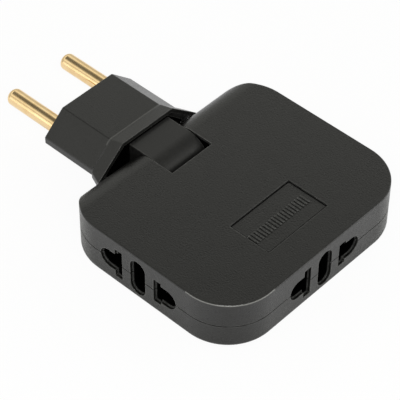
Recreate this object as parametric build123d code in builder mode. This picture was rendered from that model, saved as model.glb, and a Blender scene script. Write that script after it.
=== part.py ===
"""A slim folding mains adapter: a two-pin plug hinged into one side of a flat casing with three sockets.

Frame: millimetres, +Z up. The origin is the centre of the casing's flat underside.
The plug points along -X, and the sockets are in the -Y, +X and +Y sides.
"""
from build123d import *
from itertools import product
import os

os.makedirs("parts", exist_ok=True)

# Casing
casing_length = 57.2
casing_width = 65.7
casing_height = 14.6
corner_radius = 13.3
top_edge_radius = 0.35
bottom_edge_radius = 1.4
wall = 1.8
seam_depth = 0.25
seam_height = 0.2
mid_height = casing_height / 2
nose_radius = mid_height
nose_x = -casing_length / 2 + nose_radius

# Sunk panel in the lid
panel_length = 12.4
panel_width = 21.2
panel_depth = 0.35
panel_to_end = 14.8
panel_x = casing_length / 2 - panel_to_end

# Hinge
hinge_to_end = 6.5
hinge_x = -casing_length / 2 + hinge_to_end
barrel_sunk = 0.2
barrel_radius = mid_height - barrel_sunk
barrel_width = 13.7
barrel_gap = 0.45
barrel_side_gap = 0.25
ear_wall = 2.6
shaft_radius = 2.5
shaft_running_gap = 0.06
shaft_press_gap = 0.02
shaft_length_past_ear = 2.6
shaft_head_radius = 4.0
shaft_head_thickness = 1.0
shaft_chamfer = 0.3
notch_half_width = barrel_width / 2 + barrel_side_gap
notch_wall_x = hinge_x + barrel_radius + barrel_gap
ear_outer_y = notch_half_width + ear_wall

# Plug head, measured from the hinge axis towards the pins
head_front = 29.3
head_waist = 12.2
head_swell = 11.5
head_rim = 7.6
head_half_height = 6.9
head_top_half_width = 8.8
head_side_half_width = 15.4
head_side_half_height = 0.95
swell_rise = 0.35
swell_spread = 0.7
rim_rise = 1.6
rim_spread = 2.3
head_edge_radius = 0.55
head_front_radius = 0.4
head_wall = 1.5
head_front_wall = 2.2
rim_wall = 1.2
rim_pocket_depth = 1.5

# Pins
pin_radius = 2.35
pin_length = 18.5
pin_spacing = 19.0
pin_tip_radius = 1.5
pin_collar_radius = 2.75
pin_shoulder_radius = 3.0
pin_shoulder_length = 1.5
pin_tail_radius = 1.2
pin_rivet_radius = 2.0
pin_rivet_length = 0.8
pin_hole_gap = 0.02

# Neck, in two halves that close on the strips and the hinge shafts
neck_plate_thickness = 2.4
neck_plate_gap = 0.1
neck_web_half_width = 2.6
neck_roof = 2.1
barrel_end_wall = 1.35
barrel_cavity_radius = 5.2

# Sockets
slot_spacing = 12.7
slot_width = 2.4
tall_slot_height = 9.2
short_slot_height = 7.4
round_hole_radius = 2.85
centre_hole_width = 4.9
centre_hole_height = 11.0
opening_lip = 0.3
opening_lip_depth = 0.8
waist_gap = 0.02
guide_depth = 8.0
guide_margin = 1.6
hinge_to_side_socket = 20.85
side_socket_x = hinge_x + hinge_to_side_socket
chamber_wall = 1.0
chamber_wall_back = 2.1
inner_chamber_wall = 4.6
outer_chamber_wall = 12.9
carrier_plate = 0.8
carrier_gap = 0.1

# Brass strips and springs
strip_thickness = 0.6
strip_height = 4.4
strip_margin = 1.0
bus_width = 3.6
bus_thickness = 0.6
bus_ear_gap = 0.2
bus_start_to_hinge = 1.1
bus_cross_to_end = 21.6
clip_thickness = 0.5
clip_height = 5.0
clip_mouth_gap = 0.5
clip_mouth_half_width = 2.3
clip_mouth_length = 1.4
clip_grip_half_width = 1.95
clip_foot_length = 3.4
clip_foot_shift = 0.8
clip_row_gap = 0.4
wiper_width = 2.2
wiper_reach = 2.4
wiper_back = 3.3
wiper_foot_length = 3.6
rivet_radius = 0.7
rivet_head_radius = 1.2
rivet_head_height = 0.45
rivet_gap = 0.02

# Screws
boss_radius = 3.6
end_boss_to_end = 10.1
end_boss_to_side = 10.35
hinge_boss_to_end = 8.6
hinge_boss_to_side = 11.85
screw_radius = 1.3
screw_length = 8.5
screw_head_radius = 2.6
screw_head_height = 1.7
screw_sunk = 0.4
screw_gap = 0.2
screw_grip_gap = 0.02
screw_head_taper = 0.9
screw_head_rounding = 0.3
screw_point = 0.35
neck_screw_u = 5.2
neck_screw_radius = 0.9
neck_screw_length = 8.6
neck_screw_head_radius = 1.8
neck_screw_head_height = 1.2

# Places worked out from the sizes above
boss_x_end = casing_length / 2 - end_boss_to_end
boss_y_end = casing_width / 2 - end_boss_to_side
boss_x_hinge = hinge_boss_to_end - casing_length / 2
boss_y_hinge = casing_width / 2 - hinge_boss_to_side
boss_places = [(x, s * y) for x, y in ((boss_x_end, boss_y_end), (boss_x_hinge, boss_y_hinge)) for s in (-1, 1)]
socket_sides = {
    "front": ((side_socket_x, -casing_width / 2), (1, 0, 0), (0, -1, 0)),
    "end": ((casing_length / 2, 0), (0, 1, 0), (1, 0, 0)),
    "back": ((side_socket_x, casing_width / 2), (-1, 0, 0), (0, 1, 0)),
}
hole_x = pin_spacing / 2
bus_y = ear_outer_y + bus_ear_gap + bus_width / 2
bus_cross_x = casing_length / 2 - bus_cross_to_end
end_clips_outer_y = hole_x + clip_grip_half_width + clip_thickness
side_clip_y = max(
    bus_y - clip_foot_shift + clip_foot_length / 2,
    end_clips_outer_y + clip_row_gap + clip_thickness / 2,
)
clip_depths = {
    "front": casing_width / 2 - side_clip_y,
    "end": bus_cross_to_end - clip_foot_length / 2,
    "back": casing_width / 2 - side_clip_y,
}
guide_half_width = hole_x + round_hole_radius + guide_margin
floor_top = wall
ceiling = casing_height - wall


def face_plane(side):
    """The outside of one socket's wall: x runs along the wall, y runs up, and the normal points outwards."""
    (x, y), along, outward = socket_sides[side]
    return Plane(origin=(x, y, mid_height), x_dir=along, z_dir=outward)


def plan_plane(side, height):
    """A level plane at one socket: x runs along the wall and y runs into the casing."""
    (x, y), along, outward = socket_sides[side]
    return Plane(origin=(x, y, height), x_dir=along, z_dir=(0, 0, 1))


def plug_plane(distance):
    """A plane across the plug, at a distance from the hinge axis towards the pins: x is Y and y is up."""
    return Plane(origin=(hinge_x - distance, 0, mid_height), x_dir=(0, 1, 0), z_dir=(1, 0, 0))


def hinge_plane(y):
    """A plane across the hinge axis at one place along it: x is X, y is up, and the normal is -Y."""
    return Plane(origin=(hinge_x, y, mid_height), x_dir=(1, 0, 0), z_dir=(0, -1, 0))


# Sketches that more than one piece shares

def head_outline(top, height, side, side_height):
    """The plug head's flattened section: two wide faces, four slanted ones and two narrow sides."""
    corner = [(top, height), (side, side_height), (side, -side_height), (top, -height)]
    with BuildSketch() as outline:
        with BuildLine():
            Polyline(*corner, *[(-x, -y) for x, y in corner], close=True)
        make_face()
        fillet(outline.vertices(), head_edge_radius)
    return outline.sketch


def socket_outline(inset):
    """One socket's three holes, with their walls moved in by the inset. Each flat slot joins its round hole."""
    with BuildSketch() as outline:
        SlotCenterToCenter(centre_hole_height - centre_hole_width, centre_hole_width - 2 * inset, rotation=90)
        for s, height in ((-1, tall_slot_height), (1, short_slot_height)):
            with Locations((s * slot_spacing / 2, 0)):
                Rectangle(slot_width - 2 * inset, height - 2 * inset)
            with Locations((s * hole_x, 0)):
                Circle(round_hole_radius - inset)
            with Locations((s * (hole_x + slot_spacing / 2) / 2, 0)):
                Rectangle(hole_x - slot_spacing / 2, 2 * (round_hole_radius - inset - waist_gap))
    return outline.sketch


# Casing block, before it is parted into two shells

with BuildPart() as cavity:
    with BuildSketch(Plane.XY.offset(floor_top)):
        RectangleRounded(casing_length - 2 * wall, casing_width - 2 * wall, corner_radius - wall)
    extrude(amount=ceiling - floor_top)
    with BuildSketch(Plane.XZ):
        with Locations((nose_x, mid_height)):
            Circle(nose_radius - wall)
            Rectangle(casing_length, 2 * (nose_radius - wall), align=(Align.MIN, Align.CENTER))
    extrude(amount=casing_width / 2, both=True, mode=Mode.INTERSECT)
    with BuildSketch(Plane.XY):
        with Locations((notch_wall_x + wall, 0)):
            Rectangle(casing_length, 2 * ear_outer_y, align=(Align.MAX, Align.CENTER))
        with Locations(*boss_places):
            Circle(boss_radius)
    extrude(amount=casing_height, mode=Mode.SUBTRACT)
    for side in socket_sides:
        with BuildSketch(plan_plane(side, 0)):
            Rectangle(2 * guide_half_width, guide_depth, align=(Align.CENTER, Align.MIN))
        extrude(amount=casing_height, mode=Mode.SUBTRACT)

with BuildPart() as casing:
    with BuildSketch():
        RectangleRounded(casing_length, casing_width, corner_radius)
    extrude(amount=casing_height)
    fillet(casing.faces().sort_by(Axis.Z)[0].edges(), bottom_edge_radius)
    fillet(casing.faces().sort_by(Axis.Z)[-1].edges(), top_edge_radius)
    with BuildSketch(Plane.XZ):
        with Locations((nose_x, mid_height)):
            Circle(nose_radius)
            Rectangle(casing_length, casing_height, align=(Align.MIN, Align.CENTER))
    extrude(amount=casing_width, both=True, mode=Mode.INTERSECT)
    with BuildSketch():
        with Locations((notch_wall_x, 0)):
            Rectangle(casing_length, 2 * notch_half_width, align=(Align.MAX, Align.CENTER))
    extrude(amount=casing_height, mode=Mode.SUBTRACT)
    add(cavity.part, mode=Mode.SUBTRACT)
    for side in socket_sides:
        with BuildSketch(face_plane(side)):
            add(socket_outline(0))
        extrude(amount=-opening_lip_depth, mode=Mode.SUBTRACT)
        with BuildSketch(face_plane(side)):
            add(socket_outline(opening_lip))
        extrude(amount=-guide_depth - wall, mode=Mode.SUBTRACT)
    with BuildSketch(hinge_plane(0)):
        Circle(shaft_radius + shaft_running_gap)
    extrude(amount=ear_outer_y + wall, both=True, mode=Mode.SUBTRACT)
    with BuildSketch(Plane.XY.offset(mid_height)):
        Rectangle(casing_length + wall, casing_width + wall)
        RectangleRounded(casing_length - 2 * seam_depth, casing_width - 2 * seam_depth,
                         corner_radius - seam_depth, mode=Mode.SUBTRACT)
    extrude(amount=seam_height / 2, both=True, mode=Mode.SUBTRACT)

with BuildPart() as lower_shell:
    add(casing.part)
    split(bisect_by=Plane.XY.offset(mid_height), keep=Keep.BOTTOM)
    with Locations(*[(x, y, 0) for x, y in boss_places]):
        Cylinder(screw_radius + screw_gap, casing_height, mode=Mode.SUBTRACT)
        Cylinder(screw_head_radius + screw_gap, 2 * (screw_sunk + screw_head_height), mode=Mode.SUBTRACT)
lower_shell.part.label = "lower_shell"

with BuildPart() as upper_shell:
    add(casing.part)
    split(bisect_by=Plane.XY.offset(mid_height), keep=Keep.TOP)
    with BuildSketch(Plane.XY.offset(mid_height)):
        with Locations(*boss_places):
            Circle(screw_radius + screw_grip_gap)
    extrude(amount=screw_sunk + screw_head_height + screw_length - mid_height + screw_gap, mode=Mode.SUBTRACT)
    with BuildSketch(Plane.XY.offset(casing_height)):
        with Locations((panel_x, 0)):
            Rectangle(panel_length, panel_width)
    extrude(amount=-panel_depth, mode=Mode.SUBTRACT)
upper_shell.part.label = "upper_shell"

# Plug head: one moulding, open at the back, with a flared rim

head_sections = [
    (head_front, 0, 0),
    (head_waist, 0, 0),
    (head_swell, swell_rise, swell_spread),
    (head_rim, rim_rise, rim_spread),
]
head_cavity_end = head_front - head_front_wall
neck_joint = head_rim + rim_pocket_depth


def head_section(rise, spread):
    """The head's section, raised and spread as at one place along it."""
    return head_outline(head_top_half_width, head_half_height + rise, head_side_half_width + spread,
                        head_side_half_height)


with BuildPart() as plug_head:
    for start, end in zip(head_sections, head_sections[1:]):
        for distance, rise, spread in (start, end):
            with BuildSketch(plug_plane(distance)):
                add(head_section(rise, spread))
        loft(ruled=True)
    fillet(plug_head.faces().sort_by(Axis.X)[0].edges(), head_front_radius)
    with BuildSketch(plug_plane(head_rim)):
        offset(head_section(rim_rise, rim_spread), amount=-rim_wall)
    extrude(amount=-rim_pocket_depth, mode=Mode.SUBTRACT)
    with BuildSketch(plug_plane(neck_joint)):
        offset(head_section(0, 0), amount=-head_wall)
    extrude(amount=neck_joint - head_cavity_end, mode=Mode.SUBTRACT)
    with BuildSketch(plug_plane(head_front)):
        with Locations((-hole_x, 0), (hole_x, 0)):
            Circle(pin_collar_radius + pin_hole_gap)
    extrude(amount=head_front_wall, mode=Mode.SUBTRACT)
plug_head.part.label = "plug_head"

# Neck and barrel, parted at mid height

shaft_end = ear_outer_y + shaft_length_past_ear
barrel_cavity_end = barrel_width / 2 - barrel_end_wall

with BuildPart() as neck:
    with BuildSketch(hinge_plane(0)):
        Circle(barrel_radius)
        Rectangle(neck_joint, 2 * barrel_radius, align=(Align.MAX, Align.CENTER))
    extrude(amount=barrel_width / 2, both=True)
    with BuildSketch(plug_plane(neck_joint)):
        offset(head_section(0, 0), amount=-head_wall - neck_plate_gap)
    extrude(amount=-neck_plate_thickness)
    with BuildSketch(hinge_plane(0)):
        Circle(barrel_cavity_radius)
        Rectangle(neck_joint + neck_plate_thickness, 2 * (barrel_radius - neck_roof),
                  align=(Align.MAX, Align.CENTER))
    extrude(amount=barrel_cavity_end, both=True, mode=Mode.SUBTRACT)
    with BuildSketch(hinge_plane(0)):
        Circle(barrel_cavity_radius)
        Rectangle(neck_joint + neck_plate_thickness, 2 * (barrel_radius - neck_roof),
                  align=(Align.MAX, Align.CENTER))
    extrude(amount=neck_web_half_width, both=True)
    with BuildSketch(hinge_plane(0)):
        Circle(shaft_radius + shaft_press_gap)
    extrude(amount=barrel_width, both=True, mode=Mode.SUBTRACT)
    with BuildSketch(hinge_plane(0)):
        Circle(shaft_radius + shaft_press_gap)
    extrude(amount=neck_web_half_width, both=True)

neck_screw_x = hinge_x - neck_screw_u
neck_bottom = mid_height - barrel_radius
neck_screw_seat = neck_bottom + screw_sunk + neck_screw_head_height

with BuildPart() as neck_lower:
    add(neck.part)
    split(bisect_by=Plane.XY.offset(mid_height), keep=Keep.BOTTOM)
    with Locations((neck_screw_x, 0, neck_bottom)):
        Cylinder(neck_screw_radius + screw_gap, 4 * barrel_radius, mode=Mode.SUBTRACT)
        Cylinder(neck_screw_head_radius + screw_gap, 2 * (screw_sunk + neck_screw_head_height),
                 mode=Mode.SUBTRACT)
neck_lower.part.label = "neck_lower"

with BuildPart() as neck_upper:
    add(neck.part)
    split(bisect_by=Plane.XY.offset(mid_height), keep=Keep.TOP)
    with BuildSketch(Plane.XY.offset(mid_height)):
        with Locations((neck_screw_x, 0)):
            Circle(neck_screw_radius + screw_grip_gap)
    extrude(amount=neck_screw_seat + neck_screw_length + screw_gap - mid_height, mode=Mode.SUBTRACT)
neck_upper.part.label = "neck_upper"

# Left pieces lie on the -Y side and right pieces on the +Y side

strip_y = barrel_cavity_end - shaft_head_thickness - strip_thickness / 2
strip_u = head_cavity_end - pin_shoulder_length - strip_thickness / 2
fittings = {}


def turned(axis_plane, outline):
    """A turned piece: (distance along the plane's x, radius) points, closed onto the axis and revolved."""
    with BuildPart() as piece:
        with BuildSketch(axis_plane):
            with BuildLine():
                Polyline((outline[0][0], 0), *outline, (outline[-1][0], 0), close=True)
            make_face()
        revolve(axis=Axis(axis_plane.origin, axis_plane.x_dir))
    return piece


for label, s in (("left", -1), ("right", 1)):
    # Pin: a round tip, a collar through the head's front wall, a shoulder and a tail riveted over the strip
    pin_tip = head_front + pin_length
    pin_plane = Plane(origin=(hinge_x, s * hole_x, mid_height), x_dir=(-1, 0, 0), z_dir=(0, -1, 0))
    pin = turned(pin_plane, [
        (strip_u - strip_thickness / 2 - pin_rivet_length, pin_rivet_radius),
        (strip_u - strip_thickness / 2, pin_rivet_radius),
        (strip_u - strip_thickness / 2, pin_tail_radius),
        (strip_u + strip_thickness / 2, pin_tail_radius),
        (strip_u + strip_thickness / 2, pin_shoulder_radius),
        (head_cavity_end, pin_shoulder_radius),
        (head_cavity_end, pin_collar_radius),
        (head_front, pin_collar_radius),
        (head_front, pin_radius),
        (pin_tip, pin_radius),
    ])
    with pin:
        fillet(pin.edges().sort_by(Axis.X)[0], pin_tip_radius)
    fittings[f"pin_{label}"] = pin

    # Strip from the pin's tail to the hinge shaft's head
    with BuildPart() as strip:
        with BuildSketch(Plane.XY.offset(mid_height)):
            with BuildLine():
                Polyline(
                    (hinge_x - strip_u, s * (hole_x + pin_tail_radius + strip_margin)),
                    (hinge_x - strip_u, s * (hole_x - pin_rivet_radius - strip_thickness)),
                    (hinge_x - strip_u + strip_height, s * strip_y),
                    (hinge_x + strip_height / 2, s * strip_y),
                )
            trace(line_width=strip_thickness)
        extrude(amount=strip_height / 2, both=True)
        with BuildSketch(plug_plane(strip_u)):
            with Locations((s * hole_x, 0)):
                Circle(pin_tail_radius + pin_hole_gap)
        extrude(amount=strip_thickness, both=True, mode=Mode.SUBTRACT)
    fittings[f"contact_strip_{label}"] = strip

    # Hinge shaft: a flat head inside the barrel, and a shaft that turns in the casing's ear
    shaft_plane = Plane(origin=(hinge_x, 0, mid_height), x_dir=(0, s, 0), z_dir=(1, 0, 0))
    shaft = turned(shaft_plane, [
        (barrel_cavity_end - shaft_head_thickness, shaft_head_radius),
        (barrel_cavity_end, shaft_head_radius),
        (barrel_cavity_end, shaft_radius),
        (shaft_end - shaft_chamfer, shaft_radius),
        (shaft_end, shaft_radius - shaft_chamfer),
    ])
    fittings[f"hinge_shaft_{label}"] = shaft

# Carrier behind each socket: a plate on the casing's floor with four walls that keep the clips apart
for side, depth in clip_depths.items():
    carrier_length = depth - chamber_wall_back - guide_depth - carrier_gap
    with BuildPart() as carrier:
        with BuildSketch(plan_plane(side, floor_top)):
            with Locations((0, guide_depth + carrier_gap)):
                Rectangle(2 * outer_chamber_wall + chamber_wall, carrier_length,
                          align=(Align.CENTER, Align.MIN))
        extrude(amount=carrier_plate)
        with BuildSketch(plan_plane(side, floor_top)):
            for place in (inner_chamber_wall, outer_chamber_wall):
                with Locations(*[(s * place, guide_depth + carrier_gap) for s in (-1, 1)]):
                    Rectangle(chamber_wall, carrier_length, align=(Align.CENTER, Align.MIN))
        extrude(amount=ceiling - floor_top - carrier_gap)
    fittings[f"clip_carrier_{side}"] = carrier

# Fixed brass in the casing: two bars at different heights, each with a sliding spring and three clips

rivets_at = []
bars = {"lower": (-1, -1), "upper": (1, 1)}


def bar_level(up):
    """Height of the bar's face that carries the feet: above the lower bar, below the upper one."""
    return floor_top + bus_thickness if up < 0 else ceiling - bus_thickness


def place_rivet(x, y, up):
    """Note a rivet through a foot and the bar under it."""
    rivets_at.append((x, y, up))


# Spring that slides on the end of one hinge shaft
spring_middle = ear_outer_y + shaft_running_gap + wiper_width / 2 + (shaft_length_past_ear - wiper_width) / 2
spring_reach = shaft_radius + shaft_running_gap
for label, (up, s) in bars.items():
    level = bar_level(up)
    drop = abs(level - mid_height)
    back = wiper_back + clip_thickness / 2
    with BuildPart() as spring:
        with BuildSketch(hinge_plane(s * spring_middle)):
            with BuildLine():
                Polyline(
                    (-wiper_reach, -up * (spring_reach + clip_thickness / 2)),
                    (back, -up * (spring_reach + clip_thickness / 2)),
                    (back, up * (drop - clip_thickness / 2)),
                    (back + wiper_foot_length, up * (drop - clip_thickness / 2)),
                )
            trace(line_width=clip_thickness)
            with Locations(((back - wiper_reach) / 2, up * (spring_reach + clip_thickness / 2))):
                Rectangle(back + wiper_reach, clip_thickness)
        extrude(amount=wiper_width / 2, both=True)
    place_rivet(hinge_x + back + wiper_foot_length / 2 + clip_thickness, s * spring_middle, up)
    fittings[f"shaft_spring_{'left' if s < 0 else 'right'}"] = spring

# Socket clips: in every socket the left one stands on the lower bar and the right one hangs from the upper bar
clip_mouth = guide_depth + clip_mouth_gap
clip_throat = clip_mouth + clip_mouth_length
grip = clip_grip_half_width + clip_thickness / 2
mouth = clip_mouth_half_width + clip_thickness / 2
for (side, clip_depth), (up, s) in product(clip_depths.items(), bars.values()):
    level = bar_level(up)
    centre = s * hole_x
    with BuildPart() as clip:
        with BuildSketch(plan_plane(side, mid_height)):
            with BuildLine():
                Polyline(
                    (centre - mouth, clip_mouth),
                    (centre - grip, clip_throat),
                    (centre - grip, clip_depth),
                    (centre + grip, clip_depth),
                    (centre + grip, clip_throat),
                    (centre + mouth, clip_mouth),
                )
            trace(line_width=clip_thickness)
        extrude(amount=clip_height / 2, both=True)
        with BuildSketch(plan_plane(side, level)):
            with Locations((centre, clip_depth)):
                Rectangle(2 * clip_grip_half_width, clip_thickness)
        extrude(amount=mid_height - level)
        with BuildSketch(plan_plane(side, level)):
            with Locations((centre, clip_depth - clip_thickness / 2)):
                Rectangle(2 * clip_grip_half_width, clip_foot_length, align=(Align.CENTER, Align.MIN))
        extrude(amount=-up * clip_thickness)
    rivet_spot = plan_plane(side, level).from_local_coords((centre, clip_depth + clip_foot_length / 2, 0))
    place_rivet(rivet_spot.X, rivet_spot.Y, up)
    fittings[f"socket_clip_{side}_{'left' if s < 0 else 'right'}"] = clip

for label, (up, s) in bars.items():
    with BuildPart() as bar:
        with BuildSketch(Plane.XY.offset(floor_top if up < 0 else ceiling - bus_thickness)):
            with Locations((hinge_x + bus_start_to_hinge, s * bus_y)):
                Rectangle(bus_cross_x + bus_width / 2 - hinge_x - bus_start_to_hinge, bus_width,
                          align=(Align.MIN, Align.CENTER))
            with Locations((bus_cross_x, 0)):
                Rectangle(bus_width, 2 * bus_y + bus_width)
        extrude(amount=bus_thickness)
    fittings[f"bus_bar_{label}"] = bar

# Rivet holes, and the rivets themselves as one set
with BuildPart() as bus_rivets:
    for x, y, up in rivets_at:
        level = bar_level(up)
        with BuildSketch(Plane.XY.offset(level + up * bus_thickness)):
            with Locations((x, y)):
                Circle(rivet_radius)
        extrude(amount=-up * (bus_thickness + clip_thickness + rivet_head_height / 2))
        with BuildSketch(Plane.XY.offset(level - up * clip_thickness)):
            with Locations((x, y)):
                Circle(rivet_head_radius)
        extrude(amount=-up * rivet_head_height)
for name, piece in fittings.items():
    if name.startswith(("bus_bar", "socket_clip", "shaft_spring")):
        with piece:
            for x, y, up in rivets_at:
                with BuildSketch(Plane.XY.offset(bar_level(up) + up * bus_thickness)):
                    with Locations((x, y)):
                        Circle(rivet_radius + rivet_gap)
                extrude(amount=-up * (bus_thickness + clip_thickness), mode=Mode.SUBTRACT)
fittings["bus_rivets"] = bus_rivets

# Screws: four in the casing, one in the neck


def screw(x, y, base, shank, length, head, head_height):
    """A screw whose head is at the bottom, with its lower face at the given height."""
    plane = Plane(origin=(x, y, base), x_dir=(0, 0, 1), z_dir=(0, 1, 0))
    return turned(plane, [
        (0, head * screw_head_taper),
        (head_height * screw_head_rounding, head),
        (head_height, head),
        (head_height, shank),
        (head_height + length - shank, shank),
        (head_height + length, shank * screw_point),
    ])


with BuildPart() as case_screws:
    for x, y in boss_places:
        add(screw(x, y, screw_sunk, screw_radius, screw_length, screw_head_radius, screw_head_height).part)
fittings["case_screws"] = case_screws
fittings["neck_screw"] = screw(neck_screw_x, 0, neck_bottom + screw_sunk, neck_screw_radius, neck_screw_length,
                            neck_screw_head_radius, neck_screw_head_height)

for name, piece in fittings.items():
    piece.part.label = name
pieces = [lower_shell, upper_shell, plug_head, neck_lower, neck_upper, *fittings.values()]
for piece in pieces:
    export_step(piece.part, f"parts/{piece.part.label}.step")
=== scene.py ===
"""Looks of the folding mains adapter.

Charcoal moulded plastic, brass pins and contacts, plated screws and a ribbed grip in the sunk panel, on a
pale floor in pale surroundings. Lengths are in metres in the shared frame: +Z up, origin at the centre of
the casing's underside.
"""

import bpy
import bmesh
import math
from mathutils import Matrix, Vector


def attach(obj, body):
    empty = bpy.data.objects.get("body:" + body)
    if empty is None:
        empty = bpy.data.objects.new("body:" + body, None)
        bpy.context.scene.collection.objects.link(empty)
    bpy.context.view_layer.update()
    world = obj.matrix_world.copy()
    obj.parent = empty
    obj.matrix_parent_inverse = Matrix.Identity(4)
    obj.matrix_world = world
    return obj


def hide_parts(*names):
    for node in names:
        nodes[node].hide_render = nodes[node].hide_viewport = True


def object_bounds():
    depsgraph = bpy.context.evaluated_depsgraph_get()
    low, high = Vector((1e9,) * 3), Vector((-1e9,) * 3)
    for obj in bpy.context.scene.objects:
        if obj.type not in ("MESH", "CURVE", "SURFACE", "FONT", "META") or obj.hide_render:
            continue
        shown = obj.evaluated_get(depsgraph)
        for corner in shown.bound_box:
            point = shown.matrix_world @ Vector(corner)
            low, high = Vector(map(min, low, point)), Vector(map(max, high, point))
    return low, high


MM = 0.001
SQUARE = ((-1, -1), (1, -1), (1, 1), (-1, 1))
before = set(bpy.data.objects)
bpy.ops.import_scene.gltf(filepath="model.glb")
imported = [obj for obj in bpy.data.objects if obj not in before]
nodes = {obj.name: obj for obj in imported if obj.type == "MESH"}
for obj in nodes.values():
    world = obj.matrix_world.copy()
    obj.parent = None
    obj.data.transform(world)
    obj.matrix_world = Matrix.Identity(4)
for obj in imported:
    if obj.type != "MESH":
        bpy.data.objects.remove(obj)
cad_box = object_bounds()

# Sizes shared with the casing and the plug
PANEL_FLOOR = 14.25 * MM
CASE_SCREW_PLACES = [(18.5 * MM, -22.5 * MM), (18.5 * MM, 22.5 * MM),
                     (-20.0 * MM, -21.0 * MM), (-20.0 * MM, 21.0 * MM)]
CASE_SCREW_SEAT = 0.4 * MM
NECK_SCREW_PLACES = [(-27.3 * MM, 0.0)]
NECK_SCREW_SEAT = 0.6 * MM

# Row of raised ribs in the sunk panel
RIB_COUNT = 19
RIB_PITCH = 1.03 * MM
RIB_WIDTH = 0.5 * MM
RIB_LENGTH = 3.1 * MM
RIB_HEIGHT = 0.24 * MM
RIB_SUNK = 0.03 * MM
RIB_EDGE = 0.07 * MM
RIB_ROW_X = 14.4 * MM
RIB_ROW_Y = -0.6 * MM
ROUNDED_ANGLE = math.radians(35)

# Screws
CASE_SCREW = dict(head_radius=2.6 * MM, head_height=1.7 * MM, shank_radius=1.3 * MM, length=8.5 * MM,
                  threads=8)
NECK_SCREW = dict(head_radius=1.8 * MM, head_height=1.2 * MM, shank_radius=0.9 * MM, length=8.6 * MM,
                  threads=11)
SCREW_STEPS = 32
SCREW_SHARP_ANGLE = math.radians(38)

# A screw head's dome, as a share of the head's height. Its points go from the crown to the rim, as shares
# of the head's radius and of the dome's height.
DOME_SHARE = 0.34
DOME_POINTS = ((0.0, 0.0), (0.55, 0.08), (0.85, 0.42), (0.97, 0.8), (1.0, 1.0))

# A screw's cross recess: shares of the head's radius, the head's height and the recess's own size
CROSS_REACH = 0.52
CROSS_HALF_WIDTH = 0.13
CROSS_DEPTH = 0.6
CROSS_TAPER = 0.45

# A screw's thread: its root's radius, its start and the point's length as shares of the shank's radius, and
# the crest and the end of each turn as shares of the pitch
THREAD_ROOT = 0.74
THREAD_START = 0.4
POINT_LENGTH = 1.5
TURN_CREST = 0.42
TURN_END = 0.84

# Boxes of painted shade and painted highlight, in the piece's own coordinates: centre, half size, softness
# Painted shade inside the side sockets, the end socket, the hinge notch and the neck's root
SIDE_SOCKET_SHADE = ((-1.2 * MM, 0.0, 7.3 * MM), (13.7 * MM, 32.2 * MM, 6.2 * MM), 0.5 * MM)
END_SOCKET_SHADE = ((6.4 * MM, 0.0, 7.3 * MM), (21.6 * MM, 14.2 * MM, 6.2 * MM), 0.5 * MM)
HINGE_NOTCH_SHADE = ((-21.9 * MM, 0.0, 7.3 * MM), (7.5 * MM, 7.3 * MM, 6.6 * MM), 0.15 * MM)
NECK_ROOT_SHADE = ((-31.0 * MM, 0.0, 7.3 * MM), (1.75 * MM, 20.0 * MM, 10.0 * MM), 0.25 * MM)
# Painted highlight along the near corner's top edge
NEAR_CORNER_HIGHLIGHT = ((23.0 * MM, -26.5 * MM, 14.42 * MM), (9.0 * MM, 8.5 * MM, 0.17 * MM), 0.12 * MM)
# Painted highlight along the plug's waist crease
PLUG_WAIST_HIGHLIGHT = ((-34.3 * MM, 0.0, 17.0 * MM), (0.3 * MM, 30.0 * MM, 4.0 * MM), 0.2 * MM)
# Painted shade in the panel's outline groove and the parting seam between the shells
PANEL_OUTLINE_SHADE = ((13.8 * MM, 0.0, 14.4 * MM), (6.25 * MM, 10.65 * MM, 3.0 * MM), 0.1 * MM)
PARTING_SHADE = ((0.0, 0.0, 7.3 * MM), (40.0 * MM, 40.0 * MM, 0.16 * MM), 0.1 * MM)

# Openings and grooves, whose near-black colour is painted shade. A skin as thick as WHOLE_BOX takes in the
# whole of any box here.
PAINTED_SHADE_BLACK = (0.001, 0.001, 0.001)
OPENING_ROUGHNESS = 0.95
GROOVE_ROUGHNESS = 0.9
WHOLE_BOX = 1.0
PANEL_GROOVE_WIDTH = 0.26 * MM
PANEL_GROOVE_DEPTH = 0.6 * MM
PARTING_DEPTH = 0.25 * MM

# Floor. The camera sees it with a share of plain white. Reflections see it plain white, down to the dark
# share of a painted shadow in the boxes (centre, half size, softness) under the casing and the plug.
FLOOR_GAP = 0.02 * MM
FLOOR_HALF = 3.0
FLOOR_COLOUR = (0.86, 0.86, 0.86, 1.0)
FLOOR_WHITE_SHARE = 0.93
FLOOR_DARK_SHARE = 0.05
FLOOR_SHADES = (((0.0, 0.0, 0.0), (41.0 * MM, 45.2 * MM, 1.0), 11.0 * MM),
                ((-44.0 * MM, 0.0, 0.0), (22.0 * MM, 22.0 * MM, 1.0), 11.0 * MM))

# Surroundings: their strength at each height, from 0 at the horizon to 1 overhead
WORLD_LEVELS = ((0.25, 0.62), (0.57, 0.88), (0.655, 1.36), (0.8, 0.15))
WORLD_COLOUR = (1.0, 1.0, 0.94, 1.0)
WHITE = (1.0, 1.0, 1.0, 1.0)

# Places of a Mix node's colour sockets, which share their names with its other sockets
MIX_FACTOR = 0
MIX_LOW = 6
MIX_HIGH = 7
MIX_RESULT = 2


# Small helpers for node trees, where a link's source is written (node, output)

def fresh_material(name):
    """An empty material with its own node tree."""
    material = bpy.data.materials.new(name)
    material.use_nodes = True
    material.node_tree.nodes.clear()
    return material


def is_source(value):
    """Whether a value is a link's source."""
    return isinstance(value, tuple) and isinstance(value[0], bpy.types.Node)


def feed(tree, node, place, value):
    """Links an input to a source, or sets it to a plain value."""
    if is_source(value):
        tree.links.new(value[0].outputs[value[1]], node.inputs[place])
    else:
        node.inputs[place].default_value = value


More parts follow.
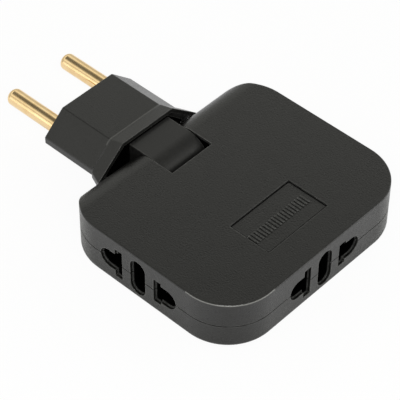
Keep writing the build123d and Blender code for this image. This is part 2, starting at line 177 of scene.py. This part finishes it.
def add_node(tree, kind, *values, **settings):
    """A node of that kind, with values for its first inputs in order.

    A setting goes to the node's own field of that name, or else to the input.
    """
    node = tree.nodes.new(kind)
    for key, value in settings.items():
        if hasattr(node, key):
            setattr(node, key, value)
        else:
            feed(tree, node, key.replace("_", " "), value)
    for place, value in enumerate(values):
        feed(tree, node, place, value)
    return node


def reckon(tree, operation, first, second, clamp=False):
    """The source of a sum, product or other operation on two values."""
    return add_node(tree, "ShaderNodeMath", first, second, operation=operation, use_clamp=clamp), "Value"


def spread(tree, value, low, high, to_low=0.0, to_high=1.0):
    """The source of a value that is stretched from one range to another."""
    node = add_node(tree, "ShaderNodeMapRange", Value=value, From_Min=low, From_Max=high, To_Min=to_low,
                    To_Max=to_high)
    return node, "Result"


def depth_in_box(tree, spot, centre, half_size):
    """The source of the depth of a place in a box, below 0 outside it."""
    off = add_node(tree, "ShaderNodeVectorMath", spot, centre, operation="SUBTRACT")
    away = add_node(tree, "ShaderNodeVectorMath", (off, "Vector"), operation="ABSOLUTE")
    within = add_node(tree, "ShaderNodeVectorMath", half_size, (away, "Vector"), operation="SUBTRACT")
    parts = add_node(tree, "ShaderNodeSeparateXYZ", (within, "Vector"))
    across = reckon(tree, "MINIMUM", (parts, "X"), (parts, "Y"))
    return reckon(tree, "MINIMUM", across, (parts, "Z"))


def blend_colours(tree, mask, low, high):
    """The source of a colour between low, a colour or a source, and the colour high."""
    mix = add_node(tree, "ShaderNodeMix", data_type="RGBA")
    feed(tree, mix, MIX_FACTOR, mask)
    feed(tree, mix, MIX_LOW, low if is_source(low) else (*low, 1.0))
    feed(tree, mix, MIX_HIGH, (*high, 1.0))
    return mix, MIX_RESULT


def new_tree(name, kind, inputs, outputs):
    """A node group with named inputs (name, kind, value) and outputs (name, kind), its start and its end."""
    tree = bpy.data.node_groups.new(name, kind)
    for label, socket_kind, value in inputs:
        socket = tree.interface.new_socket(label, in_out="INPUT", socket_type=socket_kind)
        if value is not None:
            socket.default_value = value
    for label, socket_kind in outputs:
        tree.interface.new_socket(label, in_out="OUTPUT", socket_type=socket_kind)
    return tree, tree.nodes.new("NodeGroupInput"), tree.nodes.new("NodeGroupOutput")


# Effects that several finishes share

def make_mould_grain():
    """Spark-eroded mould texture: fine pits with a slow unevenness over them."""
    tree, start, end = new_tree(
        "mould_grain", "ShaderNodeTree",
        [("Position", "NodeSocketVector", None), ("Pits Per Metre", "NodeSocketFloat", 2600.0),
         ("Cloud Per Metre", "NodeSocketFloat", 160.0), ("Cloud Share", "NodeSocketFloat", 0.3)],
        [("Height", "NodeSocketFloat"), ("Cloud", "NodeSocketFloat"), ("Speckle", "NodeSocketFloat")])
    pits = add_node(tree, "ShaderNodeTexNoise", Vector=(start, "Position"), Scale=(start, "Pits Per Metre"),
                    Detail=3.0, Roughness=0.6)
    cloud = add_node(tree, "ShaderNodeTexNoise", Vector=(start, "Position"),
                     Scale=(start, "Cloud Per Metre"), Detail=3.0, Roughness=0.55)
    both = add_node(tree, "ShaderNodeMix", data_type="FLOAT", Factor=(start, "Cloud Share"),
                    A=(pits, "Fac"), B=(cloud, "Fac"))
    feed(tree, end, "Height", (both, "Result"))
    feed(tree, end, "Cloud", (cloud, "Fac"))
    feed(tree, end, "Speckle", spread(tree, (pits, "Fac"), 0.38, 0.62))
    return tree


def make_worn_and_highlighted_edges():
    """A mask of rubbed edges, partly real rubbing and partly a painted edge highlight: where a rounded normal
    leaves the true one, broken up by noise.
    """
    tree, start, end = new_tree(
        "worn_and_highlighted_edges", "ShaderNodeTree",
        [("Position", "NodeSocketVector", None), ("Width", "NodeSocketFloat", 0.0003),
         ("Break Up", "NodeSocketFloat", 700.0), ("Strength", "NodeSocketFloat", 1.0)],
        [("Mask", "NodeSocketFloat")])
    rounded = add_node(tree, "ShaderNodeBevel", samples=6, Radius=(start, "Width"))
    true_normal = tree.nodes.new("ShaderNodeNewGeometry")
    alike = add_node(tree, "ShaderNodeVectorMath", (rounded, "Normal"), (true_normal, "Normal"),
                     operation="DOT_PRODUCT")
    turned = spread(tree, (alike, "Value"), 0.985, 0.9)
    noise = add_node(tree, "ShaderNodeTexNoise", Vector=(start, "Position"), Scale=(start, "Break Up"),
                     Detail=4.0, Roughness=0.7)
    broken = spread(tree, (noise, "Fac"), 0.35, 0.65, 0.25, 1.0)
    rubbed = reckon(tree, "MULTIPLY", turned, broken)
    feed(tree, end, "Mask", reckon(tree, "MULTIPLY", rubbed, (start, "Strength"), clamp=True))
    return tree


def make_deep_inside():
    """A mask that is 1 well inside a box and 0 outside it. A thin skin leaves the box's middle at 0 again."""
    tree, start, end = new_tree(
        "deep_inside", "ShaderNodeTree",
        [("Position", "NodeSocketVector", None), ("Centre", "NodeSocketVector", None),
         ("Half Size", "NodeSocketVector", None), ("Softness", "NodeSocketFloat", 0.0005),
         ("Skin", "NodeSocketFloat", WHOLE_BOX)],
        [("Mask", "NodeSocketFloat")])
    depth = depth_in_box(tree, (start, "Position"), (start, "Centre"), (start, "Half Size"))
    share = reckon(tree, "DIVIDE", depth, (start, "Softness"), clamp=True)
    past_skin = reckon(tree, "SUBTRACT", depth, (start, "Skin"))
    middle = reckon(tree, "DIVIDE", past_skin, (start, "Softness"), clamp=True)
    feed(tree, end, "Mask", reckon(tree, "SUBTRACT", share, middle, clamp=True))
    return tree


MOULD_GRAIN = make_mould_grain()
WORN_AND_HIGHLIGHTED_EDGES = make_worn_and_highlighted_edges()
DEEP_INSIDE = make_deep_inside()


def box_mask(tree, spot, box, skin=WHOLE_BOX):
    """The source of the mask of a box (centre, half size, softness)."""
    centre, half_size, softness = box
    mask = add_node(tree, "ShaderNodeGroup", node_tree=DEEP_INSIDE, Position=spot, Centre=centre,
                    Half_Size=half_size, Softness=softness, Skin=skin)
    return mask, "Mask"


def soft_bump(tree, height, strength, distance, edge_radius):
    """A bump over edges that look rounded."""
    soft = add_node(tree, "ShaderNodeBevel", samples=6, Radius=edge_radius)
    return add_node(tree, "ShaderNodeBump", Strength=strength, Distance=distance, Height=height,
                    Normal=(soft, "Normal"))


def principled(tree, **values):
    """The surface shader, joined to an output."""
    shader = add_node(tree, "ShaderNodeBsdfPrincipled", **values)
    add_node(tree, "ShaderNodeOutputMaterial", Surface=(shader, "BSDF"))


def moulded_plastic(name, body, light, rub_and_highlight, pits, depth, rough_low, rough_high, edge_radius,
                    patches=(), grooves=()):
    """Moulded plastic: grain, a slow change of tone and gloss, and slightly rubbed soft edges.

    Each patch (box, colour, roughness) paints the faces in a box with a colour and roughness of their own:
    painted shade in openings and hollows, painted highlights along edges and creases. Each groove (box, skin,
    depth) is sunk along the box's sides, or across the whole box when the skin is thicker than that, and its
    near-black colour is painted shade. Grooves and the near-black patches are metallic with hardly any
    colour, so they also lose their reflections.
    """
    material = fresh_material(name)
    tree = material.node_tree
    spot = (tree.nodes.new("ShaderNodeTexCoord"), "Object")
    grain = add_node(tree, "ShaderNodeGroup", node_tree=MOULD_GRAIN, Position=spot, Pits_Per_Metre=pits,
                     Cloud_Per_Metre=150.0, Cloud_Share=0.25)
    wear_and_highlight = add_node(tree, "ShaderNodeGroup", node_tree=WORN_AND_HIGHLIGHTED_EDGES, Position=spot, Width=edge_radius * 3,
                    Break_Up=900.0, Strength=0.9)
    mottle = add_node(tree, "ShaderNodeMix", data_type="FLOAT", Factor=0.65,
                      A=spread(tree, (grain, "Cloud"), 0.3, 0.7), B=(grain, "Speckle"))
    tone = blend_colours(tree, (mottle, "Result"), body, light)
    # Lighter edges: partly real rubbing, partly a painted edge highlight
    colour = blend_colours(tree, (wear_and_highlight, "Mask"), tone, rub_and_highlight)
    rough = spread(tree, (grain, "Height"), 0.3, 0.7, rough_low, rough_high)
    bump = soft_bump(tree, (grain, "Height"), 0.6, depth, edge_radius)
    metallic = 0.0
    places = [(box, WHOLE_BOX, own_colour, own_rough, 0.0) for box, own_colour, own_rough in patches]
    places += [(box, skin, PAINTED_SHADE_BLACK, GROOVE_ROUGHNESS, sunk) for box, skin, sunk in grooves]
    for box, skin, own_colour, own_rough, sunk in places:
        mask = box_mask(tree, spot, box, skin)
        colour = blend_colours(tree, mask, colour, own_colour)
        rough = (add_node(tree, "ShaderNodeMix", data_type="FLOAT", Factor=mask, A=rough, B=own_rough),
                 "Result")
        # The near-black painted shade also loses its reflections
        if own_colour == PAINTED_SHADE_BLACK:
            metallic = reckon(tree, "ADD", mask, metallic, clamp=True)
        if sunk:
            bump = add_node(tree, "ShaderNodeBump", invert=True, Strength=1.0, Distance=sunk, Height=mask,
                            Normal=(bump, "Normal"))
    principled(tree, IOR=1.5, Metallic=metallic, Base_Color=colour, Roughness=rough,
               Normal=(bump, "Normal"))
    return material


def worked_metal(name, base, dull, stretch, line_depth, rough_low, rough_high, edge_radius):
    """Metal with fine tool lines across the stretched axis, and patches of dull skin."""
    material = fresh_material(name)
    tree = material.node_tree
    spot = (tree.nodes.new("ShaderNodeTexCoord"), "Object")
    stretched = add_node(tree, "ShaderNodeMapping", Vector=spot, Scale=stretch)
    lines = add_node(tree, "ShaderNodeTexNoise", Vector=(stretched, "Vector"), Scale=1000.0, Detail=3.0,
                     Roughness=0.6)
    patches = add_node(tree, "ShaderNodeTexNoise", Vector=spot, Scale=320.0, Detail=4.0, Roughness=0.62)
    wear_and_highlight = add_node(tree, "ShaderNodeGroup", node_tree=WORN_AND_HIGHLIGHTED_EDGES, Position=spot, Width=edge_radius * 2,
                    Break_Up=1500.0, Strength=0.6)
    skin = blend_colours(tree, spread(tree, (patches, "Fac"), 0.42, 0.7), base, dull)
    rubbed = [min(1.0, channel * 1.15) for channel in base]
    bump = soft_bump(tree, (lines, "Fac"), 0.5, line_depth, edge_radius)
    principled(tree, Metallic=1.0, Base_Color=blend_colours(tree, (wear_and_highlight, "Mask"), skin, rubbed),
               Roughness=spread(tree, (lines, "Fac"), 0.3, 0.7, rough_low, rough_high),
               Normal=(bump, "Normal"))
    return material


# The casing: painted shade in the sockets and the hinge notch, a painted highlight on the near corner's top
# edge, and painted shade in the panel's outline groove and the parting seam
casing_plastic = moulded_plastic(
    "charcoal_plastic", body=(0.0018, 0.0018, 0.0016), light=(0.0070, 0.0070, 0.0063),
    rub_and_highlight=(0.09, 0.09, 0.086), pits=2400.0, depth=0.18 * MM, rough_low=0.25, rough_high=0.36,
    edge_radius=0.16 * MM,
    patches=[(SIDE_SOCKET_SHADE, PAINTED_SHADE_BLACK, OPENING_ROUGHNESS), (END_SOCKET_SHADE, PAINTED_SHADE_BLACK, OPENING_ROUGHNESS),
             (HINGE_NOTCH_SHADE, PAINTED_SHADE_BLACK, OPENING_ROUGHNESS), (NEAR_CORNER_HIGHLIGHT, (0.16, 0.16, 0.152), 0.3)],
    grooves=[(PANEL_OUTLINE_SHADE, PANEL_GROOVE_WIDTH, PANEL_GROOVE_DEPTH), (PARTING_SHADE, WHOLE_BOX, PARTING_DEPTH)])
# The plug: a painted highlight along the crease at its waist
plug_plastic = moulded_plastic(
    "charcoal_plug_plastic", body=(0.0040, 0.0040, 0.0036), light=(0.0090, 0.0090, 0.0082),
    rub_and_highlight=(0.06, 0.06, 0.057), pits=2600.0, depth=0.10 * MM, rough_low=0.26, rough_high=0.38,
    edge_radius=0.18 * MM, patches=[(PLUG_WAIST_HIGHLIGHT, (0.055, 0.055, 0.052), 0.35)])
# The neck: painted shade at its root behind the plug's rim
neck_plastic = moulded_plastic(
    "charcoal_neck_plastic", body=(0.0030, 0.0030, 0.0027), light=(0.0080, 0.0080, 0.0073),
    rub_and_highlight=(0.05, 0.05, 0.047), pits=2400.0, depth=0.04 * MM, rough_low=0.32, rough_high=0.46,
    edge_radius=0.18 * MM, patches=[(NECK_ROOT_SHADE, PAINTED_SHADE_BLACK, OPENING_ROUGHNESS)])
carrier_plastic = moulded_plastic(
    "carrier_plastic", body=(0.008, 0.008, 0.008), light=(0.012, 0.012, 0.012), rub_and_highlight=(0.03, 0.03, 0.03),
    pits=2000.0, depth=0.02 * MM, rough_low=0.5, rough_high=0.65, edge_radius=0.15 * MM)
pin_brass = worked_metal(
    "pin_brass", base=(0.87, 0.65, 0.36), dull=(0.79, 0.55, 0.27), stretch=(0.1, 1.0, 1.0),
    line_depth=0.001 * MM, rough_low=0.14, rough_high=0.2, edge_radius=0.12 * MM)
strip_brass = worked_metal(
    "strip_brass", base=(0.74, 0.54, 0.27), dull=(0.52, 0.36, 0.17), stretch=(1.0, 1.0, 0.2),
    line_depth=0.006 * MM, rough_low=0.25, rough_high=0.4, edge_radius=0.08 * MM)
screw_zinc = worked_metal(
    "zinc_plate", base=(0.55, 0.55, 0.54), dull=(0.34, 0.34, 0.33), stretch=(1.0, 1.0, 1.0),
    line_depth=0.008 * MM, rough_low=0.3, rough_high=0.45, edge_radius=0.08 * MM)

finishes = {
    "lower_shell": casing_plastic, "upper_shell": casing_plastic,
    "plug_head": plug_plastic, "neck_lower": neck_plastic, "neck_upper": neck_plastic,
    "case_screws": screw_zinc, "neck_screw": screw_zinc,
}
for name, piece in nodes.items():
    if name.startswith(("pin_", "hinge_shaft")):
        finish = pin_brass
    elif name.startswith("clip_carrier"):
        finish = carrier_plastic
    else:
        finish = finishes.get(name, strip_brass)
    piece.data.materials.clear()
    piece.data.materials.append(finish)


# Geometry trees for what repeats

def put(name, data):
    """A new object in the scene for a mesh, a lamp or a camera."""
    made = bpy.data.objects.new(name, data)
    bpy.context.scene.collection.objects.link(made)
    return made


def as_it_shows(piece):
    """The piece's mesh with its modifiers applied."""
    return bpy.data.meshes.new_from_object(piece.evaluated_get(bpy.context.evaluated_depsgraph_get()))


def geometry_tree(name, inputs):
    """A geometry node tree with named inputs (name, kind, value), its start and its end."""
    tree, start, end = new_tree(name, "GeometryNodeTree", [("Geometry", "NodeSocketGeometry", None), *inputs],
                                [("Geometry", "NodeSocketGeometry")])
    tree.is_modifier = True
    return tree, start, end


def grow(name, tree, mesh, values):
    """The tree's result on a mesh, as a plain mesh object at the origin."""
    seed = put(name + "_seed", mesh)
    modifier = seed.modifiers.new("repeat", "NODES")
    modifier.node_group = tree
    sockets = {item.name: item.identifier for item in tree.interface.items_tree if item.in_out == "INPUT"}
    for label, value in values.items():
        modifier[sockets[label]] = value
    grown = as_it_shows(seed)
    bpy.data.objects.remove(seed)
    grown.name = name
    return put(name, grown)


def lay_out(tree, start, end, points, pattern):
    """The pattern on every point, as real geometry with the finish, at the tree's end."""
    place = add_node(tree, "GeometryNodeInstanceOnPoints", Points=points, Instance=pattern)
    real = add_node(tree, "GeometryNodeRealizeInstances", Geometry=(place, "Instances"))
    paint = add_node(tree, "GeometryNodeSetMaterial", Geometry=(real, "Geometry"),
                     Material=(start, "Finish"))
    feed(tree, end, "Geometry", (paint, "Geometry"))


def rib_row_tree():
    """A straight row of equal ribs along Y, centred on the given point."""
    tree, start, end = geometry_tree("rib_row", [
        ("Count", "NodeSocketInt", 10), ("Pitch", "NodeSocketFloat", 0.001),
        ("Rib Size", "NodeSocketVector", None), ("Centre", "NodeSocketVector", None),
        ("Finish", "NodeSocketMaterial", None)])
    last = reckon(tree, "SUBTRACT", (start, "Count"), 1.0)
    half = reckon(tree, "MULTIPLY", last, -0.5)
    first = add_node(tree, "ShaderNodeCombineXYZ", Y=reckon(tree, "MULTIPLY", half, (start, "Pitch")))
    begin = add_node(tree, "ShaderNodeVectorMath", (first, "Vector"), (start, "Centre"), operation="ADD")
    step = add_node(tree, "ShaderNodeCombineXYZ", Y=(start, "Pitch"))
    line = add_node(tree, "GeometryNodeMeshLine", Count=(start, "Count"), Start_Location=(begin, "Vector"),
                    Offset=(step, "Vector"))
    rib = add_node(tree, "GeometryNodeMeshCube", Size=(start, "Rib Size"))
    lay_out(tree, start, end, (line, "Mesh"), (rib, "Mesh"))
    return tree


def copies_tree():
    """One copy of a pattern piece on every point of the seed mesh."""
    tree, start, end = geometry_tree("copies", [
        ("Pattern", "NodeSocketObject", None), ("Finish", "NodeSocketMaterial", None)])
    pattern = add_node(tree, "GeometryNodeObjectInfo", transform_space="ORIGINAL", Object=(start, "Pattern"))
    lay_out(tree, start, end, (start, "Geometry"), (pattern, "Geometry"))
    return tree


# Ribbed grip in the sunk panel

panel_ribs = grow("panel_ribs", rib_row_tree(), bpy.data.meshes.new("rib_seed"), {
    "Count": RIB_COUNT, "Pitch": RIB_PITCH, "Rib Size": (RIB_LENGTH, RIB_WIDTH, RIB_HEIGHT + RIB_SUNK),
    "Centre": (RIB_ROW_X, RIB_ROW_Y, PANEL_FLOOR + (RIB_HEIGHT - RIB_SUNK) / 2), "Finish": casing_plastic})
soft_edges = panel_ribs.modifiers.new("soft_edges", "BEVEL")
soft_edges.width = RIB_EDGE
soft_edges.segments = 2
soft_edges.limit_method = "ANGLE"
soft_edges.angle_limit = ROUNDED_ANGLE
rounded_ribs = as_it_shows(panel_ribs)
panel_ribs.modifiers.clear()
panel_ribs.data = rounded_ribs
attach(panel_ribs, "casing")


# Screws with a cross recess, a domed head and a cut thread, head downwards

def lathe(points, steps):
    """A closed turned mesh: (radius, height) points from one end of the axis to the other."""
    shape = bmesh.new()
    rings = []
    for radius, height in points:
        if radius == 0.0:
            rings.append([shape.verts.new((0.0, 0.0, height))])
            continue
        turns = [2 * math.pi * k / steps for k in range(steps)]
        rings.append([shape.verts.new((radius * math.cos(a), radius * math.sin(a), height)) for a in turns])
    for low, high in zip(rings, rings[1:]):
        for k in range(steps):
            after = (k + 1) % steps
            if len(low) == 1:
                shape.faces.new((low[0], high[after], high[k]))
            elif len(high) == 1:
                shape.faces.new((low[k], low[after], high[0]))
            else:
                shape.faces.new((low[k], low[after], high[after], high[k]))
    bmesh.ops.recalc_face_normals(shape, faces=shape.faces)
    return shape


def cross_cutter(reach, half_width, depth, taper):
    """A tapered cross that cuts a driver's recess upwards from height 0."""
    shape = bmesh.new()
    for turned in (0.0, math.pi / 2):
        corners = []
        for height, share in ((-0.2 * depth, 1.0), (depth, taper)):
            for x, y in SQUARE:
                spot = Vector((x * reach * share, y * half_width * share, height))
                corners.append(shape.verts.new(Matrix.Rotation(turned, 3, "Z") @ spot))
        shape.faces.new(corners[3::-1])
        shape.faces.new(corners[4:])
        for k in range(4):
            after = (k + 1) % 4
            shape.faces.new((corners[k], corners[after], corners[after + 4], corners[k + 4]))
    bmesh.ops.recalc_face_normals(shape, faces=shape.faces)
    return shape


def as_object(name, shape):
    """A bmesh as an object in the scene."""
    mesh = bpy.data.meshes.new(name)
    shape.to_mesh(mesh)
    shape.free()
    return put(name, mesh)


def screw_pattern(name, head_radius, head_height, shank_radius, length, threads):
    """One screw that stands on its head at the origin."""
    dome = head_height * DOME_SHARE
    root = shank_radius * THREAD_ROOT
    pitch = (length - 2 * shank_radius) / threads
    outline = [(head_radius * across, dome * up) for across, up in DOME_POINTS]
    outline += [(head_radius, head_height), (root, head_height)]
    for turn in range(threads):
        base = head_height + shank_radius * THREAD_START + turn * pitch
        outline += [(root, base), (shank_radius, base + pitch * TURN_CREST), (root, base + pitch * TURN_END)]
    outline += [(root, head_height + length - POINT_LENGTH * shank_radius), (0.0, head_height + length)]
    body = as_object(name, lathe(outline, SCREW_STEPS))
    cutter = as_object(name + "_cutter", cross_cutter(
        head_radius * CROSS_REACH, head_radius * CROSS_HALF_WIDTH, head_height * CROSS_DEPTH, CROSS_TAPER))
    cut = body.modifiers.new("recess", "BOOLEAN")
    cut.operation = "DIFFERENCE"
    cut.solver = "EXACT"
    cut.use_self = True
    cut.object = cutter
    finished = as_it_shows(body)
    body.modifiers.clear()
    body.data = finished
    bpy.data.objects.remove(cutter)
    finished.shade_smooth()
    finished.set_sharp_from_angle(angle=SCREW_SHARP_ANGLE)
    return body


def point_mesh(name, points):
    """A mesh of loose points."""
    mesh = bpy.data.meshes.new(name)
    mesh.from_pydata(points, [], [])
    return mesh


copies = copies_tree()
for piece_name, node, body, places, seat, sizes in (
        ("case_screw_set", "case_screws", "casing", CASE_SCREW_PLACES, CASE_SCREW_SEAT, CASE_SCREW),
        ("neck_screw_cross", "neck_screw", "plug", NECK_SCREW_PLACES, NECK_SCREW_SEAT, NECK_SCREW)):
    pattern = screw_pattern(piece_name + "_pattern", **sizes)
    screws = grow(piece_name, copies, point_mesh(piece_name + "_places", [(x, y, seat) for x, y in places]),
                  {"Pattern": pattern, "Finish": screw_zinc})
    bpy.data.objects.remove(pattern)
    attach(screws, body)
    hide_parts(node)


# Floor, lights and camera

def make_floor(level):
    """A wide pale floor that the camera and reflections see as white, with the object's soft shadow on it and
    a painted shadow under the casing and the plug in its reflections.
    """
    mesh = bpy.data.meshes.new("floor")
    mesh.from_pydata([(x * FLOOR_HALF, y * FLOOR_HALF, level) for x, y in SQUARE], [], [(0, 1, 2, 3)])
    floor = put("floor", mesh)
    material = fresh_material("floor_white")
    tree = material.node_tree
    diffuse = add_node(tree, "ShaderNodeBsdfDiffuse", Color=FLOOR_COLOUR)
    white = add_node(tree, "ShaderNodeEmission", Color=WHITE, Strength=1.0)
    path = tree.nodes.new("ShaderNodeLightPath")
    spot = (tree.nodes.new("ShaderNodeTexCoord"), "Object")
    mirror = reckon(tree, "MAXIMUM", (path, "Is Glossy Ray"), (path, "Is Transmission Ray"))
    # Painted shadow under the casing and the plug, seen only in reflections
    shade = reckon(tree, "MAXIMUM", *[
        reckon(tree, "DIVIDE", depth_in_box(tree, spot, centre, half_size), softness, clamp=True)
        for centre, half_size, softness in FLOOR_SHADES])
    white_in_mirror = spread(tree, shade, 0.0, 1.0, 1.0, FLOOR_DARK_SHARE)
    mirror_share = reckon(tree, "MULTIPLY", mirror, white_in_mirror)
    camera_share = reckon(tree, "MULTIPLY", (path, "Is Camera Ray"), FLOOR_WHITE_SHARE)
    mix = add_node(tree, "ShaderNodeMixShader", reckon(tree, "ADD", mirror_share, camera_share),
                   (diffuse, "BSDF"), (white, "Emission"))
    add_node(tree, "ShaderNodeOutputMaterial", Surface=(mix, "Shader"))
    mesh.materials.append(material)


def make_world(levels):
    """Pale surroundings with a strength for each height, which the camera sees as plain white."""
    world = bpy.data.worlds.new("studio")
    bpy.context.scene.world = world
    world.use_nodes = True
    tree = world.node_tree
    tree.nodes.clear()
    heading = tree.nodes.new("ShaderNodeTexCoord")
    split = add_node(tree, "ShaderNodeSeparateXYZ", (heading, "Generated"))
    level = add_node(tree, "ShaderNodeValToRGB", (split, "Z"))
    stops = level.color_ramp.elements
    for height, strength in levels[1:-1]:
        stops.new(height).color = (strength, strength, strength, 1.0)
    for stop, (height, strength) in ((stops[0], levels[0]), (stops[-1], levels[-1])):
        stop.position = height
        stop.color = (strength, strength, strength, 1.0)
    dim = add_node(tree, "ShaderNodeBackground", Color=WORLD_COLOUR, Strength=(level, "Color"))
    white = add_node(tree, "ShaderNodeBackground", Color=WHITE, Strength=1.0)
    path = tree.nodes.new("ShaderNodeLightPath")
    mix = add_node(tree, "ShaderNodeMixShader", (path, "Is Camera Ray"), (dim, "Background"),
                   (white, "Background"))
    add_node(tree, "ShaderNodeOutputWorld", Surface=(mix, "Shader"))


def direction(azimuth, elevation):
    """The direction of a place as seen from the object, with azimuth 0 at -Y and 90 at +X, in degrees."""
    az, el = math.radians(azimuth), math.radians(elevation)
    return Vector((math.sin(az) * math.cos(el), -math.cos(az) * math.cos(el), math.sin(el)))


def soft_lamp(name, azimuth, elevation, distance, width, height, power):
    """A soft box that faces the object."""
    lamp = bpy.data.lights.new(name, "AREA")
    lamp.shape = "RECTANGLE"
    lamp.size = width
    lamp.size_y = height
    lamp.energy = power
    holder = put(name, lamp)
    back = direction(azimuth, elevation)
    holder.location = back * distance
    holder.rotation_euler = back.to_track_quat("Z", "Y").to_euler()


def make_camera(azimuth, elevation, roll, distance, target, lens):
    """A camera that looks at the target, rolled by an angle in degrees."""
    turn = math.radians(roll)
    back = direction(azimuth, elevation)
    right = (-back).cross(Vector((0, 0, 1))).normalized()
    up = right.cross(-back)
    across = right * math.cos(turn) + up * math.sin(turn)
    upward = up * math.cos(turn) - right * math.sin(turn)
    data = bpy.data.cameras.new("photo_view")
    data.lens = lens
    data.sensor_width = 36.0
    data.clip_start = 0.01
    camera = put("photo_view", data)
    turned = Matrix((across, upward, back)).transposed().to_4x4()
    camera.matrix_world = Matrix.Translation(Vector(target) + back * distance) @ turned
    bpy.context.scene.camera = camera


make_floor(cad_box[0][2] - FLOOR_GAP)
make_world(WORLD_LEVELS)
soft_lamp("left_box", azimuth=-22, elevation=6, distance=0.8, width=0.5, height=0.5, power=0.9)
soft_lamp("right_box", azimuth=130, elevation=12, distance=0.8, width=0.5, height=0.5, power=1.9)
soft_lamp("front_box", azimuth=42, elevation=47, distance=0.9, width=0.36, height=0.03, power=4.4)
make_camera(azimuth=42.66, elevation=45.64, roll=0.55, distance=0.44415,
            target=(-6.525 * MM, -5.74 * MM, 9.89 * MM), lens=164.16)

bpy.context.scene.view_settings.view_transform = "Standard"
